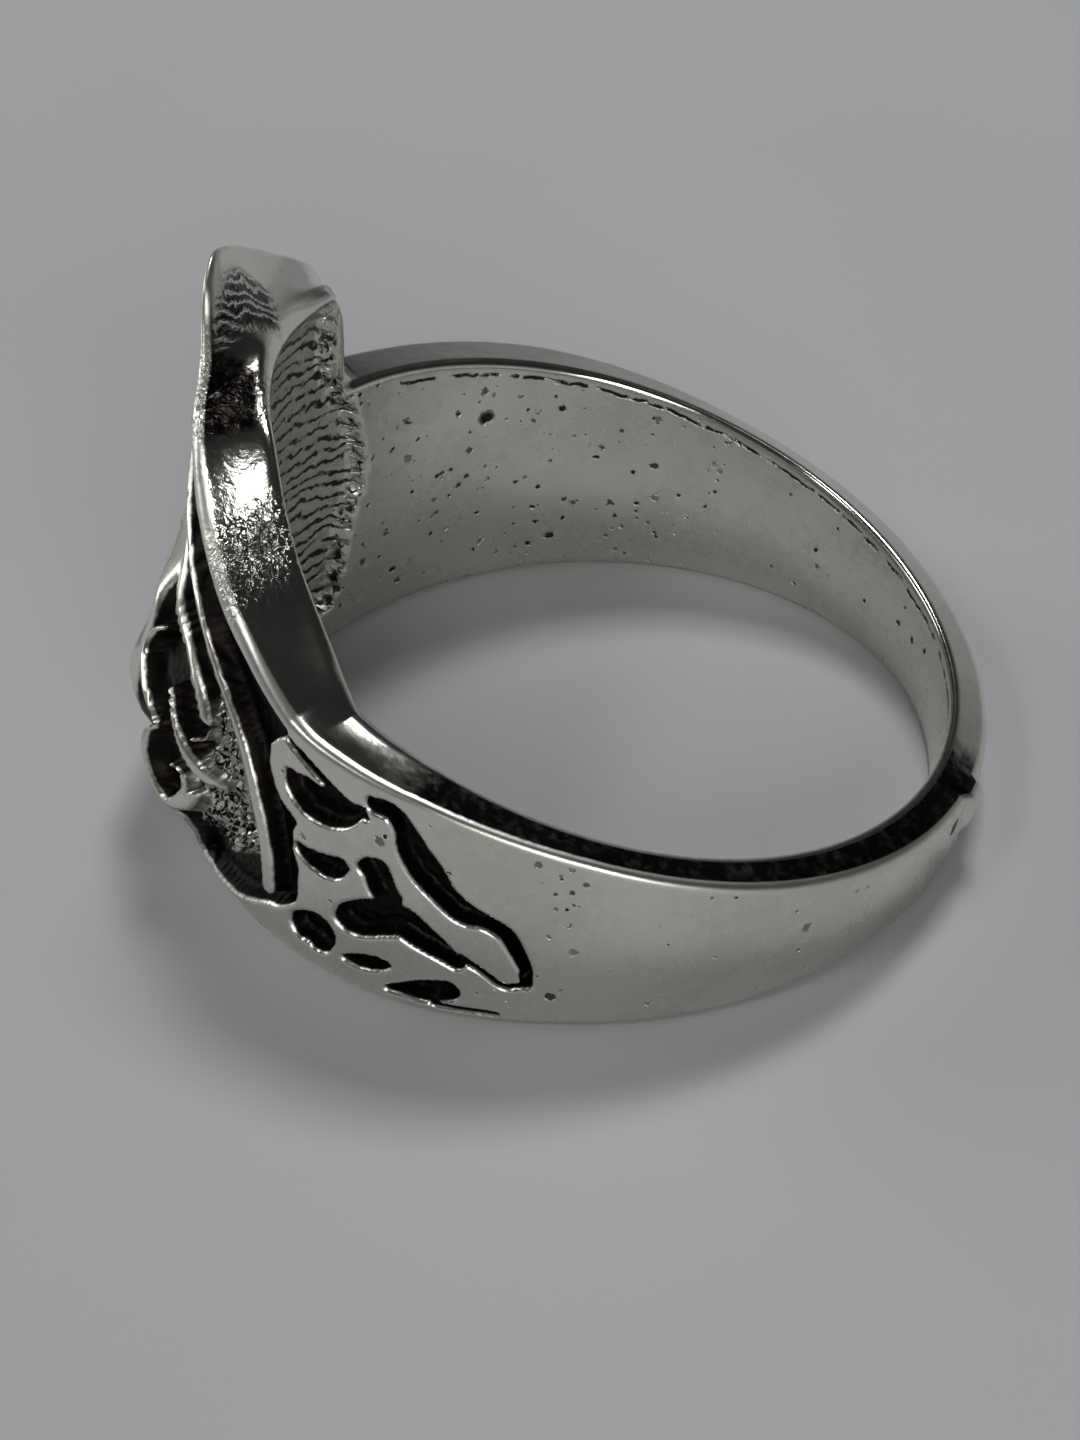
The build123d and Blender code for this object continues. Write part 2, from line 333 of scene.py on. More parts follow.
def face_radius(angle, height):
    """Distance from the bore axis out to the bulge of the face, or 0 where it isn't."""
    a = np.radians(angle)
    left = 1 - ((height - FACE_HEIGHT) / FACE_HALF_HEIGHT) ** 2
    p = (np.sin(a) / FACE_HALF_WIDTH) ** 2 + (np.cos(a) / FACE_REACH) ** 2
    q = 2 * np.cos(a) * FACE_DEPTH / FACE_REACH ** 2
    r = (FACE_DEPTH / FACE_REACH) ** 2 - left
    inside = q * q - 4 * p * r
    return np.where(inside > 0, (-q + np.sqrt(np.maximum(inside, 0))) / (2 * p), 0)


def skin_radius(angle, height):
    """Radius of the polished outer skin, with the face's bulge and the rounded foot."""
    radius = soft_max(curve_through(angle, OUTER_SKIN), face_radius(angle, height), 0.3)
    tip = TIP_SWELL * bell(angle, TIP_ANGLE, 6) * soft_step(height - TIP_HEIGHT, 0.5)
    neck = NECK_DEPTH * bell(angle, NECK_ANGLE, 4) * soft_step(height - NECK_HEIGHT, 0.5)
    gate = soft_step(2.3 - np.abs(angle - GATE_ANGLE), 0.8) * soft_step(height + 0.1, 0.3)
    radius = radius + tip - neck + GATE_RISE * gate
    lift = np.clip((height - lower_rim(angle)) / curve_through(angle, FOOT_ROUND), 0, 1)
    return FOOT_RADIUS + (radius - FOOT_RADIUS) * np.sqrt(1 - (1 - lift) ** 2)


def rounded_run(points, cuts=4):
    """More points along a run, on a smooth curve through it."""
    p = np.array(points, float)
    ends = np.vstack([2 * p[0] - p[1], p, 2 * p[-1] - p[-2]])
    run = []
    for i in range(1, len(ends) - 2):
        a, b, c, d = ends[i - 1:i + 3]
        for t in np.linspace(0, 1, cuts, endpoint=False):
            run.append(0.5 * (2 * b + (c - a) * t + (2 * a - 5 * b + 4 * c - d) * t * t
                              + (3 * b - a - 3 * c + d) * t ** 3))
    run.append(p[-1])
    run = np.array(run)
    run[:, 2] = np.maximum(run[:, 2], 0.02)
    return run


def stroke(angle, height, points, softness=WALL_SOFTNESS):
    """1 inside a run of points with half widths, 0 outside it."""
    run = rounded_run(points)
    u = np.radians(angle) * SKIN_RADIUS
    pu = np.radians(run[:, 0]) * SKIN_RADIUS
    pv, width = run[:, 1], run[:, 2]
    margin = width.max() + 4 * softness
    near = (u > pu.min() - margin) & (u < pu.max() + margin)
    near &= (height > pv.min() - margin) & (height < pv.max() + margin)
    field = np.zeros_like(u)
    if not near.any():
        return field
    su, sv = u[near][:, None], height[near][:, None]
    du, dv = np.diff(pu), np.diff(pv)
    t = np.clip(((su - pu[:-1]) * du + (sv - pv[:-1]) * dv) / (du * du + dv * dv + 1e-9), 0, 1)
    reach = np.hypot(su - pu[:-1] - t * du, sv - pv[:-1] - t * dv)
    inside = (width[:-1] + t * np.diff(width) - reach).max(axis=1)
    field[near] = soft_step(inside, softness)
    return field


def relief(angle, height):
    """Level of the relief (0 low ground, 1 polished skin), and where the ground is rough."""
    arc = math.radians(1) * SKIN_RADIUS
    inland = (curve_through(height, SHOULDER_EDGE) - angle) * arc
    above = height - curve_through(angle, GROUND_FOOT)
    ground = soft_step(np.minimum(inland, above), WALL_SOFTNESS)
    ground = ground * soft_step(GROUND_END - angle, 1)
    level = 1 - ground
    rough = stroke(angle, height, ROUGH_PATCH, 0.2) * ground
    level = np.maximum(level, ROUGH_LEVEL * rough)
    for points in RAISED_BARS.values():
        bar = stroke(angle, height, points)
        level = np.maximum(level, bar)
        rough = rough * (1 - bar)
    for points in CUT_POCKETS.values():
        level = np.minimum(level, 1 - stroke(angle, height, points))
    for points in RAISED_AGAIN.values():
        level = np.maximum(level, stroke(angle, height, points))
    return level, rough


def skull_offset(across, height):
    """Push of a plain skull's features on the face, and how dark its hollows are."""
    x = np.abs(across)

    def from_middle(feature, lean=0.0):
        """Distances from a feature's middle, as shares of its half width and half height."""
        place, level, half_width, half_height = feature
        return (x - place) / half_width, (height - level + lean * (x - place)) / half_height

    eye = soft_step(1 - np.hypot(*from_middle(SOCKET, 0.12)), 0.28)
    nose = soft_step(1 - np.hypot(*from_middle(NOSE)), 0.3) * (height > -3)
    brow = bell(height + 0.12 * (x - 1.9) ** 2, 2.45, 0.35) * soft_step(4.2 - x, 0.6)
    cheek = np.exp(-np.square(from_middle(CHEEK)).sum(axis=0))
    under = np.exp(-np.square(from_middle(CHEEK_HOLLOW)).sum(axis=0))
    jaws = soft_step(JAW_HALF_WIDTH - x, 0.3) * between(height, TEETH_FOOT, TEETH_TOP, 0.1, 0.1)
    gaps = bell((x + TOOTH_WIDTH / 2) % TOOTH_WIDTH, TOOTH_WIDTH / 2, 0.07)
    teeth = jaws * np.maximum(gaps, bell(height, MOUTH_HEIGHT, 0.08))
    push = -1.1 * eye - 0.6 * nose + 0.2 * brow + 0.22 * cheek - 0.45 * under - 0.26 * teeth
    dark = np.clip(eye * 1.2 + nose * 1.3 + 0.75 * under + teeth, 0, 1)
    return push, dark


def angle_columns():
    """Angles of the mesh's columns, closer together where the relief is."""
    columns = []
    for start, end, step in ANGLE_STEPS:
        count = round((end - start) / step)
        columns += list(np.linspace(start, end, count, endpoint=False))
    return np.array(columns)


def bend(a, corner, b, rows):
    """Points of a rounded corner from a to b, both ends left out."""
    out = []
    for t in np.linspace(0, 1, rows + 2)[1:-1]:
        out.append(tuple((1 - t) ** 2 * a[k] + 2 * t * (1 - t) * corner[k] + t * t * b[k] for k in (0, 1)))
    return out


def hollow_mask(angle, height, top):
    """1 in the shallow hollow behind the head, 0 on the smooth bore."""
    arc = math.radians(1) * BORE_RADIUS
    ragged = 0.12 * np.sin(height * 9.1) + 0.08 * np.sin(height * 23.7 + 1.3)
    far = (angle - curve_through(height, HOLLOW_EDGE)) * arc + ragged
    near = (HOLLOW_NEAR_EDGE - angle) * arc
    ends = np.minimum(height - HOLLOW_FOOT, top - RIDGE_LAND - height)
    return soft_step(np.minimum(np.minimum(far, near), ends), 0.22)


def ring_surface():
    """Radius, height and angle of every mesh point, and the zone of the section of each row."""
    columns = angle_columns()
    lean = PLATE_LEAN * bell(columns, PLATE_LEAN_ANGLE, 10)
    outer_angle = columns + lean
    inner_z = plate_edge(columns, INNER_RIDGE, BORE_RADIUS)
    outer_z = plate_edge(outer_angle, OUTER_CREST)
    foot_in = lower_rim(columns, BORE_RADIUS)
    foot_out = lower_rim(outer_angle)
    plate = between(columns, PLATE_START, 70, 3, 8)
    near_side = np.clip(np.sin(np.radians(columns)), 0, 1)
    hump = HUMP_RISE * bell(columns, HUMP_ANGLE, HUMP_HALF_WIDTH)
    inner_z = inner_z + hump
    outer_z = outer_z + hump - (1 - plate) * (RIM_FALL - (RIM_FALL + RIM_NEAR_RISE) * near_side)
    crest_r = skin_radius(outer_angle, outer_z)
    ridge_round = RIDGE_ROUND + RIDGE_ROUND_MORE * plate
    crest_round = CREST_ROUND + CREST_ROUND_MORE * plate
    one = np.ones_like(columns)

    top_run, top_rise = crest_r - BORE_RADIUS, outer_z - inner_z
    top_length = np.hypot(top_run, top_rise)
    ux, uz = top_run / top_length, top_rise / top_length
    ridge_low = (BORE_RADIUS * one, inner_z - ridge_round)
    ridge_top = (BORE_RADIUS + ux * ridge_round, inner_z + uz * ridge_round)
    crest_top = (crest_r - ux * crest_round, outer_z - uz * crest_round)
    crest_low_z = outer_z - crest_round
    crest_low = (skin_radius(outer_angle, crest_low_z), crest_low_z)

    rows = []

    def add(radius, height, angle, zone):
        rows.append((radius * one, height * one, angle * one, zone))

    def leaning(radius):
        """Angles of a row on the plate's edge, between the inner ridge and the outer crest."""
        return columns + lean * (radius - BORE_RADIUS) / top_run

    low = foot_in + FOOT_EDGE_ROUND
    for t in np.linspace(0, 1, BORE_ROWS):
        z = low + (ridge_low[1] - low) * t
        radius = BORE_RADIUS + HOLLOW_DEPTH * hollow_mask(columns, z, inner_z)
        add(radius, z, columns, "bore")
    for r, z in bend(ridge_low, (BORE_RADIUS * one, inner_z), ridge_top, RIDGE_ROWS):
        add(r, z, columns, "ridge")
    for t in np.linspace(0, 1, TOP_ROWS):
        r = ridge_top[0] + (crest_top[0] - ridge_top[0]) * t
        sag = (PLATE_SAG + PLATE_SAG_MORE * soft_step(20 - columns, 4)) * plate * math.sin(math.pi * t)
        z = ridge_top[1] + (crest_top[1] - ridge_top[1]) * t - sag
        add(r, z, leaning(r), "top")
    for r, z in bend(crest_top, (crest_r, outer_z), crest_low, CREST_ROWS):
        add(r, z, leaning(r), "crest")
    wall_foot = foot_out + 0.05
    for t in np.linspace(0, 1, WALL_ROWS):
        z = crest_low_z + (wall_foot - crest_low_z) * t
        add(skin_radius(outer_angle, z), z, outer_angle, "wall")
    rim_out = skin_radius(outer_angle, wall_foot)
    for t in np.linspace(0, 1, FOOT_ROWS + 2)[1:]:
        swing = t * math.pi / 2
        r = rim_out + (BORE_RADIUS + FOOT_EDGE_ROUND - rim_out) * t
        z = lower_rim(columns, r) + (wall_foot - foot_out) * (1 - math.sin(swing))
        add(r, z, leaning(r), "foot")
    for t in np.linspace(0, 1, FOOT_EDGE_ROWS + 2)[1:-1]:
        swing = t * math.pi / 2
        r = BORE_RADIUS + FOOT_EDGE_ROUND * (1 - math.sin(swing))
        z = lower_rim(columns, r) + FOOT_EDGE_ROUND * (1 - math.cos(swing))
        add(r, z, columns, "foot")
    radius, height, angle = (np.array([row[k] for row in rows]).T for k in (0, 1, 2))
    zones = [row[3] for row in rows]
    return radius, height, angle, zones


def carve_wall(radius, height, angle, wall, masks):
    """Cuts the relief and the skull into the rows of the outer wall, and blackens the crack by the gate."""
    a, z = angle[:, wall], height[:, wall]
    crest = plate_edge(a, OUTER_CREST)
    foot = lower_rim(a)
    # The far shoulder mirrors the near one, with its heights spread over the wall that is there.
    share = (z - foot) / (crest - foot)
    mirror_z = foot + share * (plate_edge(np.abs(a), OUTER_CREST) - foot)
    level, rough = relief(np.abs(a), np.where(a < 0, mirror_z, z))
    edge_bar = soft_step(z - (crest - 0.34 - 0.16 * soft_step(a - 62, 5)), WALL_SOFTNESS)
    level = np.maximum(level, edge_bar * between(a, -32, 71.5, 2, 0.8))
    across = np.radians(a) * SKULL_RADIUS
    face = soft_step(SKULL_REACH - np.hypot(across / 1.05, (z - SKULL_MIDDLE) * 0.95), 0.35)
    push, dark = skull_offset(across, z)
    level = np.maximum(level, face)

    # Behind the plate's edge the wall is thin near its crest, so the ground is shallower there.
    skin = skin_radius(a, z)
    depth = POCKET_DEPTH + (GROUND_DEPTH - POCKET_DEPTH) * soft_step(57 - np.abs(a), 3)
    inner = plate_edge(a, INNER_RIDGE, BORE_RADIUS)
    climb = np.clip((z - inner) / np.maximum(crest - inner, 0.3), 0, 1)
    depth = np.minimum(depth, np.maximum((skin - BORE_RADIUS) * (1 - climb) - LEAST_WALL, 0))
    curls = stroke(a, z, RAISED_BARS["upper curl"], 0.2) + stroke(a, z, RAISED_BARS["lower curl"], 0.2)
    radius[:, wall] = skin - depth * (1 - level) + face * push + CURL_RISE * np.clip(curls, 0, 1)

    masks["soot_and_painted_dark"][:, wall] = np.clip((1 - level) * 1.15 + face * dark + stroke(a, z, GATE_CRACK), 0, 1)
    masks["rough"][:, wall] = rough
    shoulder = between(a, 84, 103, 4, 8) * soft_step(1.9 - np.abs(z - 1.0), 0.8)
    beside = [(point[0] + 3.5, point[1], 0.5) for point in CUT_POCKETS["outer groove"]]
    speckles = np.maximum(0.12 + 0.4 * shoulder, stroke(np.abs(a), z, beside, 0.3))
    masks["pitted"][:, wall] = np.maximum(speckles, stroke(np.abs(a), z, ROUGH_LIGHT, 0.15))


def mark_bore(height, angle, bore, masks):
    """Marks the hollow, the pits and the distance below the far rim on the rows of the bore."""
    a, z = angle[:, bore], height[:, bore]
    masks["hollow"][:, bore] = hollow_mask(a, z, plate_edge(a, INNER_RIDGE, BORE_RADIUS))
    masks["pitted"][:, bore] = 0.12 + 0.6 * between(a, -95, PLATE_START + 2, 12, 5)
    no_line = FAR_FROM_RIM * between(a, -33, 150, 3, 8)
    masks["below_rim"][:, bore] = upper_rim(a, BORE_RADIUS) - z + no_line


def mark_edge(radius, angle, rows, masks):
    """Marks gloss, painted dark reflection, beaten skin and folds on the upper rim and the edge of the
    plate.
    """
    flat, crest = rows["top"], rows["crest"]
    edge = rows["ridge"] | flat | crest
    a = angle[:, flat]
    near_rim = between(a, 70, 176, 8, 6)
    above_hump = between(a, 12, 26, 4, 3)
    below_hump = between(a, 35, 50, 3, 8)
    # Painted dark reflection: the flat of the near rim and of the plate above and below the hump is
    # blackened as if it mirrored the dark room above.
    masks["soot_and_painted_dark"][:, flat] = RIM_PAINTED_DARK * (near_rim + above_hump + 0.7 * below_hump)
    masks["gloss"][:, edge] = 1
    masks["gloss"][:, crest] -= 1.6 * between(angle[:, crest], 2, 176, 4, 5)
    a, r = angle[:, edge], radius[:, edge]
    plate = between(a, PLATE_START, 66, 3, 5)
    from_hump = np.abs(a - HUMP_ANGLE)
    beaten = soft_step(14 - from_hump, 4) * (0.1 + 0.9 * soft_step(from_hump - 5.5, 2))
    masks["beaten"][:, edge] = plate * beaten
    down = a - FOLD_LEAN * (r - BORE_RADIUS)
    folds = between(down, -11, 2.4, 2, 2) * soft_step(r - 9.75 + 0.06 * down, 0.12)
    masks["wrinkled"][:, edge] = plate * folds * soft_step(11.0 - r, 0.1)


def carve(radius, height, angle, zones):
    """Cuts the relief into the outer wall and returns the masks of the finish."""
    masks = {name: np.zeros_like(radius) for name in MASK_NAMES}
    masks["below_rim"] += FAR_FROM_RIM
    masks["course"] += height + COURSE_SLOPE * (angle - COURSE_ANGLE)
    rows = {name: np.array([zone == name for zone in zones]) for name in sorted(set(zones))}
    carve_wall(radius, height, angle, rows["wall"], masks)
    mark_bore(height, angle, rows["bore"], masks)
    mark_edge(radius, angle, rows, masks)
    return masks


def to_row(radius, height, angle):
    """Points about the bore axis in millimetres, turned into the row frame in metres."""
    a = np.radians(angle)
    points = np.stack([radius * np.sin(a), -radius * np.cos(a), height], -1).reshape(-1, 3)
    turn = np.array(Matrix.Rotation(REST_TILT, 3, "X"))
    return points @ turn.T * MM + np.array(RING_ORIGIN)


def mesh_object(name, points, faces):
    """A smooth-shaded mesh object at the origin."""
    mesh = bpy.data.meshes.new(name)
    mesh.from_pydata(points.tolist(), [], faces.tolist())
    mesh.shade_smooth()
    obj = bpy.data.objects.new(name, mesh)
    bpy.context.scene.collection.objects.link(obj)
    return obj


def closed_grid(columns, rows):
    """Faces of a grid that closes on itself both ways, facing outwards."""
    i, j = np.meshgrid(np.arange(columns), np.arange(rows), indexing="ij")
    i2, j2 = (i + 1) % columns, (j + 1) % rows
    corners = [i * rows + j, i * rows + j2, i2 * rows + j2, i2 * rows + j]
    return np.stack(corners, -1).reshape(-1, 4)


class NodeBench:
    """Adds and joins nodes of one tree in short lines."""

    def __init__(self, tree):
        self.tree = tree

    def add(self, kind, **settings):
        node = self.tree.nodes.new(kind)
        for key, value in settings.items():
            setattr(node, key, value)
        return node

    def join(self, source, target):
        self.tree.links.new(source, target)

    def feed(self, socket, value):
        """Joins an output to the socket, or sets the socket to a plain value."""
        if isinstance(value, bpy.types.NodeSocket):
            self.join(value, socket)
        else:
            socket.default_value = value

    def math(self, operation, *values, clamp=False):
        node = self.add("ShaderNodeMath", operation=operation, use_clamp=clamp)
        for socket, value in zip(node.inputs, values):
            self.feed(socket, value)
        return node.outputs[0]

    def times(self, a, b):
        return self.math("MULTIPLY", a, b)

    def plus(self, a, b):
        return self.math("ADD", a, b)

    def minus(self, a, b):
        return self.math("SUBTRACT", a, b)

    def larger(self, a, b, clamp=False):
        return self.math("MAXIMUM", a, b, clamp=clamp)

    def mask(self, name):
        """The value of one of the ring's masks."""
        return self.add("ShaderNodeAttribute", attribute_name=name).outputs["Fac"]

    def ramp(self, value, low, high, start=0.0, end=1.0):
        """A smooth rise from start to end while value goes from low to high."""
        node = self.add("ShaderNodeMapRange", interpolation_type="SMOOTHSTEP")
        names = ("Value", "From Min", "From Max", "To Min", "To Max")
        for name, item in zip(names, (value, low, high, start, end)):
            self.feed(node.inputs[name], item)
        return node.outputs["Result"]

    def noise(self, place, scale, detail=3.0, roughness=0.55, distortion=0.0):
        node = self.add("ShaderNodeTexNoise")
        self.join(place, node.inputs["Vector"])
        node.inputs["Scale"].default_value = scale
        node.inputs["Detail"].default_value = detail
        node.inputs["Roughness"].default_value = roughness
        node.inputs["Distortion"].default_value = distortion
        return node.outputs["Fac"]

    def cells(self, place, scale):
        node = self.add("ShaderNodeTexVoronoi", feature="F1")
        self.join(place, node.inputs["Vector"])
        node.inputs["Scale"].default_value = scale
        return node

    def blend(self, factor, a, b):
        node = self.add("ShaderNodeMix", data_type="RGBA")
        self.feed(node.inputs[0], factor)
        self.feed(node.inputs[6], a)
        self.feed(node.inputs[7], b)
        return node.outputs[2]

    def bump(self, height, strength, distance, under=None):
        node = self.add("ShaderNodeBump")
        node.inputs["Strength"].default_value = strength
        node.inputs["Distance"].default_value = distance
        self.join(height, node.inputs["Height"])
        if under is not None:
            self.join(under, node.inputs["Normal"])
        return node.outputs["Normal"]


def color(rgb):
    """An opaque colour for a colour socket."""
    return (rgb[0], rgb[1], rgb[2], 1.0)


def small_pits(bench, place, density):
    """Small ragged pits whose number follows density."""
    wobble = bench.times(bench.noise(place, 6000, 3, 0.6), 0.55)
    pits = 0.0
    for scale, least, spread, share in SMALL_PITS:
        cell = bench.cells(place, scale)
        pick = bench.add("ShaderNodeSeparateColor")
        bench.join(cell.outputs["Color"], pick.inputs[0])
        chance = bench.minus(1.0, bench.times(density, share))
        chosen = bench.math("GREATER_THAN", pick.outputs[0], chance)
        size = bench.plus(bench.times(pick.outputs[1], spread), least)
        inside = bench.minus(size, bench.plus(cell.outputs["Distance"], wobble))
        deep = bench.times(chosen, bench.ramp(pick.outputs[2], 0.0, 1.0, 0.5, 1.0))
        pit = bench.times(bench.ramp(bench.plus(inside, 0.12), 0.0, 0.09), deep)
        pits = bench.larger(pits, pit)
    return pits


def large_pits(bench, place, pits):
    """Adds the few large ragged pits of the bore to the small ones."""
    ragged = bench.add("ShaderNodeTexNoise")
    bench.join(place, ragged.inputs["Vector"])
    ragged.inputs["Scale"].default_value = 5200
    shake = bench.add("ShaderNodeVectorMath", operation="MULTIPLY_ADD")
    bench.join(ragged.outputs["Color"], shake.inputs[0])
    shake.inputs[1].default_value = (PIT_STRAY * MM,) * 3
    bench.join(place, shake.inputs[2])
    for angle, height, size in LARGE_PITS:
        centre = to_row(np.array([BORE_RADIUS]), np.array([height]), np.array([angle]))[0]
        reach = bench.add("ShaderNodeVectorMath", operation="DISTANCE")
        bench.join(shake.outputs[0], reach.inputs[0])
        reach.inputs[1].default_value = [c + PIT_STRAY / 2 * MM for c in centre]
        pit = bench.ramp(reach.outputs["Value"], size * MM, size / 2 * MM)
        pits = bench.larger(pits, pit)
    return pits


def painted_rim_shadow(bench, place, patchy):
    """A painted shadow: the thin black line of the rim's inner edge that runs just under the far rim."""
    drift = bench.minus(bench.noise(place, 1400, 3, 0.6), 0.5)
    below = bench.minus(bench.mask("below_rim"), RIM_SHADOW_DROP)
    away = bench.math("ABSOLUTE", bench.plus(below, bench.times(drift, 0.3)))
    return bench.times(bench.ramp(away, 0.075, 0.03), bench.ramp(patchy, 0.4, 0.52))


def pour_lines(bench, place, patchy, pitch):
    """Curved lines left by the pour across the hollow behind the head, and its ragged edge."""
    hollow = bench.mask("hollow")
    course = bench.mask("course")
    waver = bench.times(bench.noise(place, 800, 3, 0.6), 1.1)
    phase = bench.times(bench.plus(course, waver), 2 * math.pi / pitch)
    line = bench.ramp(bench.math("SINE", phase), 0.3, 0.85)
    line = bench.times(line, bench.ramp(patchy, 0.34, 0.5, 0.15, 1.0))
    edge = bench.times(bench.ramp(hollow, 0.02, 0.3), bench.ramp(hollow, 0.95, 0.6))
    torn = bench.ramp(bench.noise(place, 3300, 3, 0.6, 1.0), 0.5, 0.56)
    ragged = bench.times(edge, torn)
    line = bench.larger(bench.times(line, hollow), ragged)
    return bench.times(line, bench.ramp(course, 8.4, 6.2))


def tip_folds(bench, place, pitch):
    """Folds at the tip of the plate, a wave between -1 and 1."""
    along = bench.add("ShaderNodeVectorMath", operation="DOT_PRODUCT")
    bench.join(place, along.inputs[0])
    along.inputs[1].default_value = FOLD_WAY
    rise = bench.times(along.outputs["Value"], 1 / MM)
    phase = bench.plus(rise, bench.noise(place, 1100, 4, 0.6))
    fold = bench.math("SINE", bench.times(phase, 2 * math.pi / pitch))
    return bench.times(fold, bench.mask("wrinkled"))


def blackening(bench, place, patchy, marks_and_rim_shadow, fold):
    """Where the black stays: low ground, the rough patch, pits and pour lines and between the folds, with
    painted dark reflection on the flat of the rim and plate and the painted shadow line under the far rim.
    """
    rough = bench.mask("rough")
    worn = bench.times(bench.minus(patchy, 0.5), 0.25)
    black = bench.ramp(bench.plus(bench.mask("soot_and_painted_dark"), worn), 0.07, 0.27)
    flecks = bench.ramp(bench.noise(place, 3400, 3, 0.6, 1.5), 0.46, 0.54)
    bare = bench.minus(1.0, bench.times(rough, 0.9))
    black = bench.larger(bench.times(black, bare), bench.times(rough, flecks))
    black = bench.larger(black, bench.times(marks_and_rim_shadow, 0.97))
    shade = bench.times(bench.mask("wrinkled"), bench.ramp(fold, 0.75, -0.2, 0.2, 0.95))
    return bench.larger(black, shade, clamp=True)


def silver_finish(finish):
    """Polished silver-coloured metal, black in the low ground, with casting pits and pour lines, a painted
    shadow line under the far rim and painted dark reflection on the flat of the rim and plate.
    """
    material = bpy.data.materials.new("antiqued_silver")
    material.use_nodes = True
    tree = material.node_tree
    tree.nodes.clear()
    bench = NodeBench(tree)
    place = bench.add("ShaderNodeTexCoord").outputs["Object"]
    shader = bench.add("ShaderNodeBsdfPrincipled")
    output = bench.add("ShaderNodeOutputMaterial")
    bench.join(shader.outputs[0], output.inputs["Surface"])

    patchy = bench.noise(place, 2600, 4, 0.6)
    pits = large_pits(bench, place, small_pits(bench, place, bench.mask("pitted")))
    line = pour_lines(bench, place, patchy, finish.line_pitch)
    # Pits and pour lines, with the painted shadow line under the far rim.
    marks_and_rim_shadow = bench.larger(bench.larger(pits, line), painted_rim_shadow(bench, place, patchy), clamp=True)
    fold = tip_folds(bench, place, finish.fold_pitch)
    black = blackening(bench, place, patchy, marks_and_rim_shadow, fold)

    broad = bench.noise(place, 420, 3, 0.5)
    cloud = bench.plus(bench.times(patchy, 0.4), bench.times(broad, 0.6))
    tone = bench.blend(bench.ramp(cloud, 0.38, 0.62), color(finish.silver), color(finish.silver_dull))
    bench.join(bench.blend(black, tone, color(finish.tarnish)), shader.inputs["Base Color"])
    shader.inputs["Metallic"].default_value = 1.0
    satin = bench.ramp(cloud, 0.35, 0.65, finish.satin - 0.03, finish.satin + 0.03)
    gleam = bench.times(bench.mask("gloss"), finish.satin - finish.polish)
    grain = bench.plus(bench.minus(satin, gleam), bench.times(black, 0.14))
    bench.join(grain, shader.inputs["Roughness"])

    skin = bench.bump(bench.noise(place, 11000, 3, 0.6), 0.12, 0.02 * MM)
    waves = bench.bump(bench.noise(place, 1300, 2, 0.5), 0.12, 0.06 * MM, skin)
    beaten = bench.times(bench.noise(place, 4800, 2, 0.6, 0.6), bench.mask("beaten"))
    beaten = bench.bump(beaten, 0.7, 0.12 * MM, waves)
    folds = bench.bump(fold, 0.5, 0.05 * MM, beaten)
    sunk = bench.times(marks_and_rim_shadow, -1.0)
    bench.join(bench.bump(sunk, 0.6, 0.1 * MM, folds), shader.inputs["Normal"])
    return material


def cast_skin_tree(material):
    """Geometry nodes that wrinkle the low ground of a casting and beat part of its plate edge."""
    tree = bpy.data.node_groups.new("cast_skin", "GeometryNodeTree")
    face = tree.interface
    face.new_socket("Geometry", in_out="INPUT", socket_type="NodeSocketGeometry")
    for name, default in (("Wrinkle Depth", 0.07 * MM), ("Wrinkle Scale", 5200.0),
                          ("Beat Depth", 0.03 * MM), ("Beat Scale", 2200.0), ("Ground Depth", 0.04 * MM)):
        socket = face.new_socket(name, in_out="INPUT", socket_type="NodeSocketFloat")
        socket.default_value = default
    face.new_socket("Seed", in_out="INPUT", socket_type="NodeSocketFloat")
    face.new_socket("Geometry", in_out="OUTPUT", socket_type="NodeSocketGeometry")
    bench = NodeBench(tree)
    source = bench.add("NodeGroupInput")
    result = bench.add("NodeGroupOutput")

    def mask(name):
        node = bench.add("GeometryNodeInputNamedAttribute", data_type="FLOAT")
        node.inputs["Name"].default_value = name
        return node.outputs["Attribute"]

    def grain(scale_name, detail):
        node = bench.add("ShaderNodeTexNoise", noise_dimensions="4D")
        bench.join(bench.add("GeometryNodeInputPosition").outputs[0], node.inputs["Vector"])
        bench.join(source.outputs[scale_name], node.inputs["Scale"])
        bench.join(source.outputs["Seed"], node.inputs["W"])
        node.inputs["Detail"].default_value = detail
        node.inputs["Distortion"].default_value = 0.8
        return bench.minus(node.outputs["Fac"], 0.5)

    wrinkles = grain("Wrinkle Scale", 2.0)
    beats = grain("Beat Scale", 1.0)
    deep = bench.times(source.outputs["Wrinkle Depth"], 8.0)
    shift = bench.times(bench.times(wrinkles, deep), mask("rough"))
    low = bench.times(bench.times(source.outputs["Ground Depth"], 4.0), mask("soot_and_painted_dark"))
    shift = bench.plus(shift, bench.times(wrinkles, low))
    beat = bench.times(bench.times(source.outputs["Beat Depth"], 4.0), mask("beaten"))
    shift = bench.plus(shift, bench.times(beats, beat))
    normal = bench.add("GeometryNodeInputNormal")
    push = bench.add("ShaderNodeVectorMath", operation="SCALE")
    bench.join(normal.outputs[0], push.inputs[0])
    bench.join(shift, push.inputs["Scale"])
    move = bench.add("GeometryNodeSetPosition")
    bench.join(source.outputs["Geometry"], move.inputs["Geometry"])
    bench.join(push.outputs[0], move.inputs["Offset"])
    real = bench.add("GeometryNodeRealizeInstances")
    bench.join(move.outputs[0], real.inputs[0])
    paint = bench.add("GeometryNodeSetMaterial")
    paint.inputs["Material"].default_value = material
    bench.join(real.outputs[0], paint.inputs["Geometry"])
    bench.join(paint.outputs[0], result.inputs["Geometry"])
    return tree


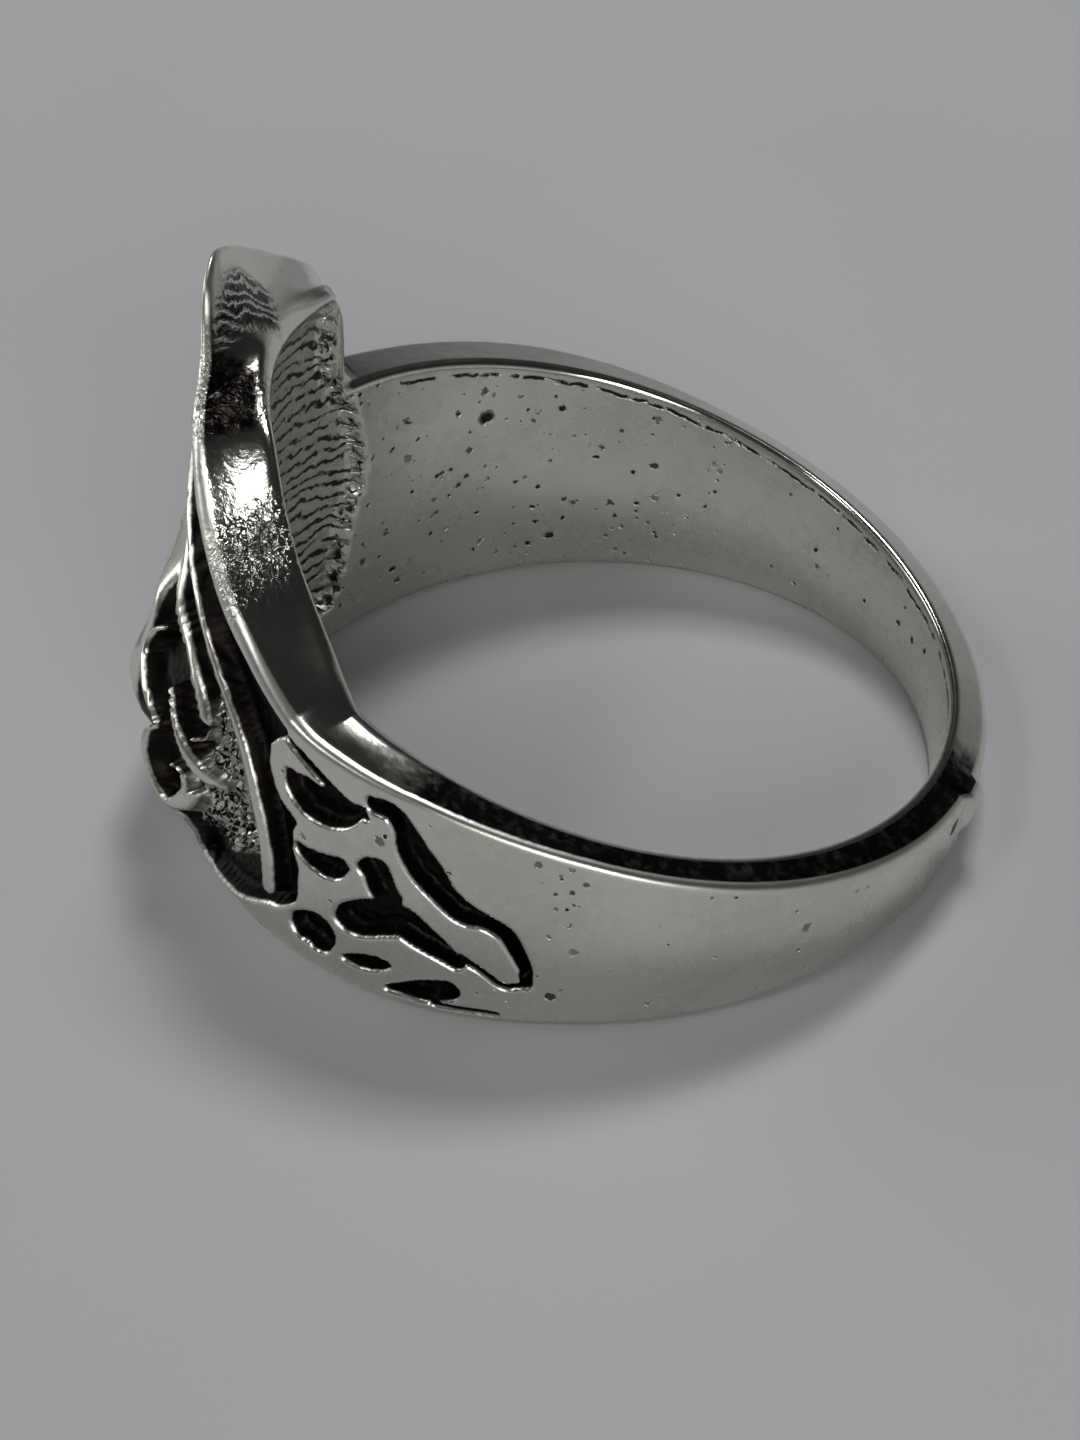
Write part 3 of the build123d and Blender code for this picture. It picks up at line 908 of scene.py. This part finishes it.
def apply_tree(obj, tree, settings):
    """Runs a geometry tree on obj with named settings and keeps the result as its plain mesh."""
    modifier = obj.modifiers.new(tree.name, "NODES")
    modifier.node_group = tree
    for item in tree.interface.items_tree:
        if item.item_type == "SOCKET" and item.in_out == "INPUT" and item.name in settings:
            modifier[item.identifier] = settings[item.name]
    bpy.context.view_layer.update()
    view = obj.evaluated_get(bpy.context.evaluated_depsgraph_get())
    mesh = bpy.data.meshes.new_from_object(view)
    obj.modifiers.remove(modifier)
    old = obj.data
    obj.data = mesh
    bpy.data.meshes.remove(old)
    mesh.name = obj.name


def floor_finish(stage):
    """Plain pale matt floor."""
    material = bpy.data.materials.new("pale_floor")
    material.use_nodes = True
    tree = material.node_tree
    tree.nodes.clear()
    bench = NodeBench(tree)
    place = bench.add("ShaderNodeTexCoord").outputs["Object"]
    shader = bench.add("ShaderNodeBsdfPrincipled")
    output = bench.add("ShaderNodeOutputMaterial")
    bench.join(shader.outputs[0], output.inputs["Surface"])
    drift = bench.ramp(bench.noise(place, 30, 2), 0.3, 0.7)
    light = color(stage.floor_color)
    shade = color([c * 0.97 for c in stage.floor_color])
    bench.join(bench.blend(drift, light, shade), shader.inputs["Base Color"])
    shader.inputs["Roughness"].default_value = 0.75
    shader.inputs["Specular IOR Level"].default_value = 0.2
    bench.join(bench.bump(bench.noise(place, 1500, 2), 0.1, 0.02 * MM), shader.inputs["Normal"])
    return material


class RingFinish(bpy.types.PropertyGroup):
    """Colours and surface sizes of the cast metal."""

    silver: FloatVectorProperty(
        name="Silver", description="Colour of the polished skin", subtype="COLOR",
        default=(0.77, 0.765, 0.7), min=0, max=1)
    silver_dull: FloatVectorProperty(
        name="Dull silver", description="Colour of the skin's duller spots", subtype="COLOR",
        default=(0.7, 0.69, 0.625), min=0, max=1)
    tarnish: FloatVectorProperty(
        name="Tarnish", description="Colour of the blackened low ground", subtype="COLOR",
        default=(0.013, 0.011, 0.01), min=0, max=1)
    satin: FloatProperty(
        name="Satin roughness", description="Roughness of the bore and the band's outside", default=0.27,
        min=0.03, max=0.9, subtype="FACTOR")
    polish: FloatProperty(
        name="Polished roughness", description="Roughness of the rims and the plate's edge", default=0.15,
        min=0.03, max=0.9, subtype="FACTOR")
    fold_pitch: FloatProperty(
        name="Fold pitch", description="Spacing of the folds at the plate's tip, in mm", default=0.29,
        min=0.1, max=2)
    line_pitch: FloatProperty(
        name="Line pitch", description="Spacing of the pour lines in the hollow, in mm", default=0.42,
        min=0.1, max=2)
    wrinkle_depth: FloatProperty(
        name="Wrinkle depth", description="Depth of the wrinkled patches", default=0.1 * MM, min=0,
        max=0.5 * MM, subtype="DISTANCE", unit="LENGTH", precision=6)
    beat_depth: FloatProperty(
        name="Beat depth", description="Depth of the beaten skin on the plate edge", default=0.006 * MM,
        min=0, max=0.5 * MM, subtype="DISTANCE", unit="LENGTH", precision=6)
    seed: IntProperty(name="Seed", description="Start of the random grain", default=7, min=0)


class RingStage(bpy.types.PropertyGroup):
    """Floor, lights and camera."""

    floor_color: FloatVectorProperty(
        name="Floor", description="Colour of the floor", subtype="COLOR", default=(0.58, 0.59, 0.605),
        min=0, max=1)
    floor_size: FloatProperty(
        name="Floor size", description="Side of the square floor", default=2.0, min=0.1,
        subtype="DISTANCE", unit="LENGTH")
    lamp_power: FloatProperty(
        name="Lamp power", description="Power of the overhead lamp in watts", default=1.22, min=0,
        subtype="POWER", unit="POWER")
    near_power: FloatProperty(
        name="Near lamp power", description="Power of the near side's lamp in watts", default=0.36, min=0,
        subtype="POWER", unit="POWER")
    fill_power: FloatProperty(
        name="Left window power", description="Power of the light at the left in watts", default=0.7,
        min=0, subtype="POWER", unit="POWER")
    front_power: FloatProperty(
        name="Front window power", description="Power of the low light in watts", default=1.1, min=0,
        subtype="POWER", unit="POWER")
    wall_glow: FloatProperty(
        name="Wall glow", description="Brightness of the room low down", default=0.26, min=0, max=2)
    wall_top: FloatProperty(
        name="Wall top", description="Sine of the angle up to which the walls are pale", default=0.45,
        min=0.05, max=1)
    camera_azimuth: FloatProperty(
        name="Camera azimuth", description="Turn of the camera about the ring",
        default=math.radians(104.94), subtype="ANGLE", unit="ROTATION")
    camera_elevation: FloatProperty(
        name="Camera elevation", description="Height of the camera, an angle",
        default=math.radians(38.54), subtype="ANGLE", unit="ROTATION")
    camera_roll: FloatProperty(
        name="Camera roll", description="Lean of the camera about its own view",
        default=math.radians(-2.62), subtype="ANGLE", unit="ROTATION")
    camera_offset: FloatVectorProperty(
        name="Camera offset", description="From the bore to the camera",
        default=(51.573 * MM, 11.997 * MM, 40.631 * MM), subtype="XYZ", unit="LENGTH", precision=5)
    lens: FloatProperty(
        name="Lens", description="Focal length for a 36 mm long side", default=60.5, min=10,
        subtype="DISTANCE_CAMERA")


class RING_OT_cast_ring(bpy.types.Operator):
    """Builds the ring's carved skin over its CAD node"""

    bl_idname = "ring.cast_ring"
    bl_label = "Build cast ring"

    def execute(self, context):
        finish = context.scene.ring_finish
        radius, height, angle, zones = ring_surface()
        masks = carve(radius, height, angle, zones)
        points = to_row(radius, height, angle)
        obj = mesh_object("ring_skin", points, closed_grid(*radius.shape))
        for name, values in masks.items():
            layer = obj.data.attributes.new(name, "FLOAT", "POINT")
            layer.data.foreach_set("value", values.astype(np.float32).ravel())
        material = silver_finish(finish)
        obj.data.materials.append(material)
        settings = {"Wrinkle Depth": finish.wrinkle_depth, "Beat Depth": finish.beat_depth,
                    "Seed": float(finish.seed)}
        apply_tree(obj, cast_skin_tree(material), settings)
        if not obj.data.polygons:
            raise RuntimeError("the ring's skin came out empty")
        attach(obj, "root")
        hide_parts("cast_ring")
        return {"FINISHED"}


class RING_OT_stage(bpy.types.Operator):
    """Builds the floor, the lights and the camera"""

    bl_idname = "ring.stage"
    bl_label = "Build stage"

    def execute(self, context):
        stage = context.scene.ring_stage
        half = stage.floor_size / 2
        corners = np.array([(-half, -half, 0), (half, -half, 0), (half, half, 0), (-half, half, 0)])
        floor = mesh_object("floor", corners, np.array([[0, 1, 2, 3]]))
        floor.data.materials.append(floor_finish(stage))
        self.light("far_lamp", (-0.44, 0.04, 0.897), 0.15, stage.lamp_power)
        self.light("near_lamp", (0.47, -0.45, 0.76), 0.12, stage.near_power)
        self.light("left_window", (-0.1, -0.93, 0.36), 0.3, stage.fill_power)
        self.light("front_window", (0.84, 0.42, 0.35), 0.3, stage.front_power)
        world = bpy.data.worlds.new("dim_room")
        world.use_nodes = True
        self.room(world.node_tree, stage)
        context.scene.world = world
        context.scene.view_settings.view_transform = "Standard"
        self.camera(context, stage)
        return {"FINISHED"}

    def room(self, tree, stage):
        """Pale low down, where a room's walls would be, and dark above."""
        bench = NodeBench(tree)
        split = bench.add("ShaderNodeSeparateXYZ")
        bench.join(bench.add("ShaderNodeTexCoord").outputs["Generated"], split.inputs[0])
        glow = bench.ramp(split.outputs["Z"], stage.wall_top, 0.0, 0.02, stage.wall_glow)
        background = tree.nodes["Background"]
        background.inputs[0].default_value = (0.95, 0.98, 1.0, 1)
        bench.join(glow, background.inputs[1])

    def light(self, name, toward, size, power):
        """Adds a soft square light that shines on the ring."""
        data = bpy.data.lights.new(name, "AREA")
        data.size = size
        data.energy = power
        obj = bpy.data.objects.new(name, data)
        direction = Vector(toward).normalized()
        obj.location = direction * LIGHT_DISTANCE
        obj.rotation_mode = "QUATERNION"
        obj.rotation_quaternion = direction.to_track_quat("Z", "Y")
        bpy.context.scene.collection.objects.link(obj)

    def camera(self, context, stage):
        """Adds the camera at the photo's angle."""
        data = bpy.data.cameras.new("photo_camera")
        data.lens = stage.lens
        data.sensor_width = 36
        data.clip_start = 1 * MM
        obj = bpy.data.objects.new("photo_camera", data)
        a, e = stage.camera_azimuth, stage.camera_elevation
        back = Vector((math.sin(a) * math.cos(e), -math.cos(a) * math.cos(e), math.sin(e)))
        right = Vector((math.cos(a), math.sin(a), 0))
        up = back.cross(right)
        turn = Matrix((right, up, back)).transposed() @ Matrix.Rotation(stage.camera_roll, 3, "Z")
        obj.rotation_mode = "QUATERNION"
        obj.rotation_quaternion = turn.to_quaternion()
        obj.location = RING_ORIGIN + Vector(stage.camera_offset)
        context.scene.collection.objects.link(obj)
        context.scene.camera = obj


class RING_PT_panel(bpy.types.Panel):
    """Lists the ring's builders and settings"""

    bl_label = "Cast skull ring"
    bl_idname = "RING_PT_panel"
    bl_space_type = "VIEW_3D"
    bl_region_type = "UI"
    bl_category = "Ring"

    def draw(self, context):
        column = self.layout.column()
        for operator in (RING_OT_stage, RING_OT_cast_ring):
            column.operator(operator.bl_idname)
        for group in (context.scene.ring_finish, context.scene.ring_stage):
            for name in group.bl_rna.properties.keys():
                if name not in ("rna_type", "name"):
                    column.prop(group, name)


CLASSES = (RingFinish, RingStage, RING_OT_cast_ring, RING_OT_stage, RING_PT_panel)


def register():
    for cls in CLASSES:
        bpy.utils.register_class(cls)
    bpy.types.Scene.ring_finish = PointerProperty(type=RingFinish)
    bpy.types.Scene.ring_stage = PointerProperty(type=RingStage)


def unregister():
    del bpy.types.Scene.ring_stage
    del bpy.types.Scene.ring_finish
    for cls in reversed(CLASSES):
        bpy.utils.unregister_class(cls)


def main():
    register()
    bpy.ops.ring.stage()
    bpy.ops.ring.cast_ring()


if __name__ == "__main__":
    main()
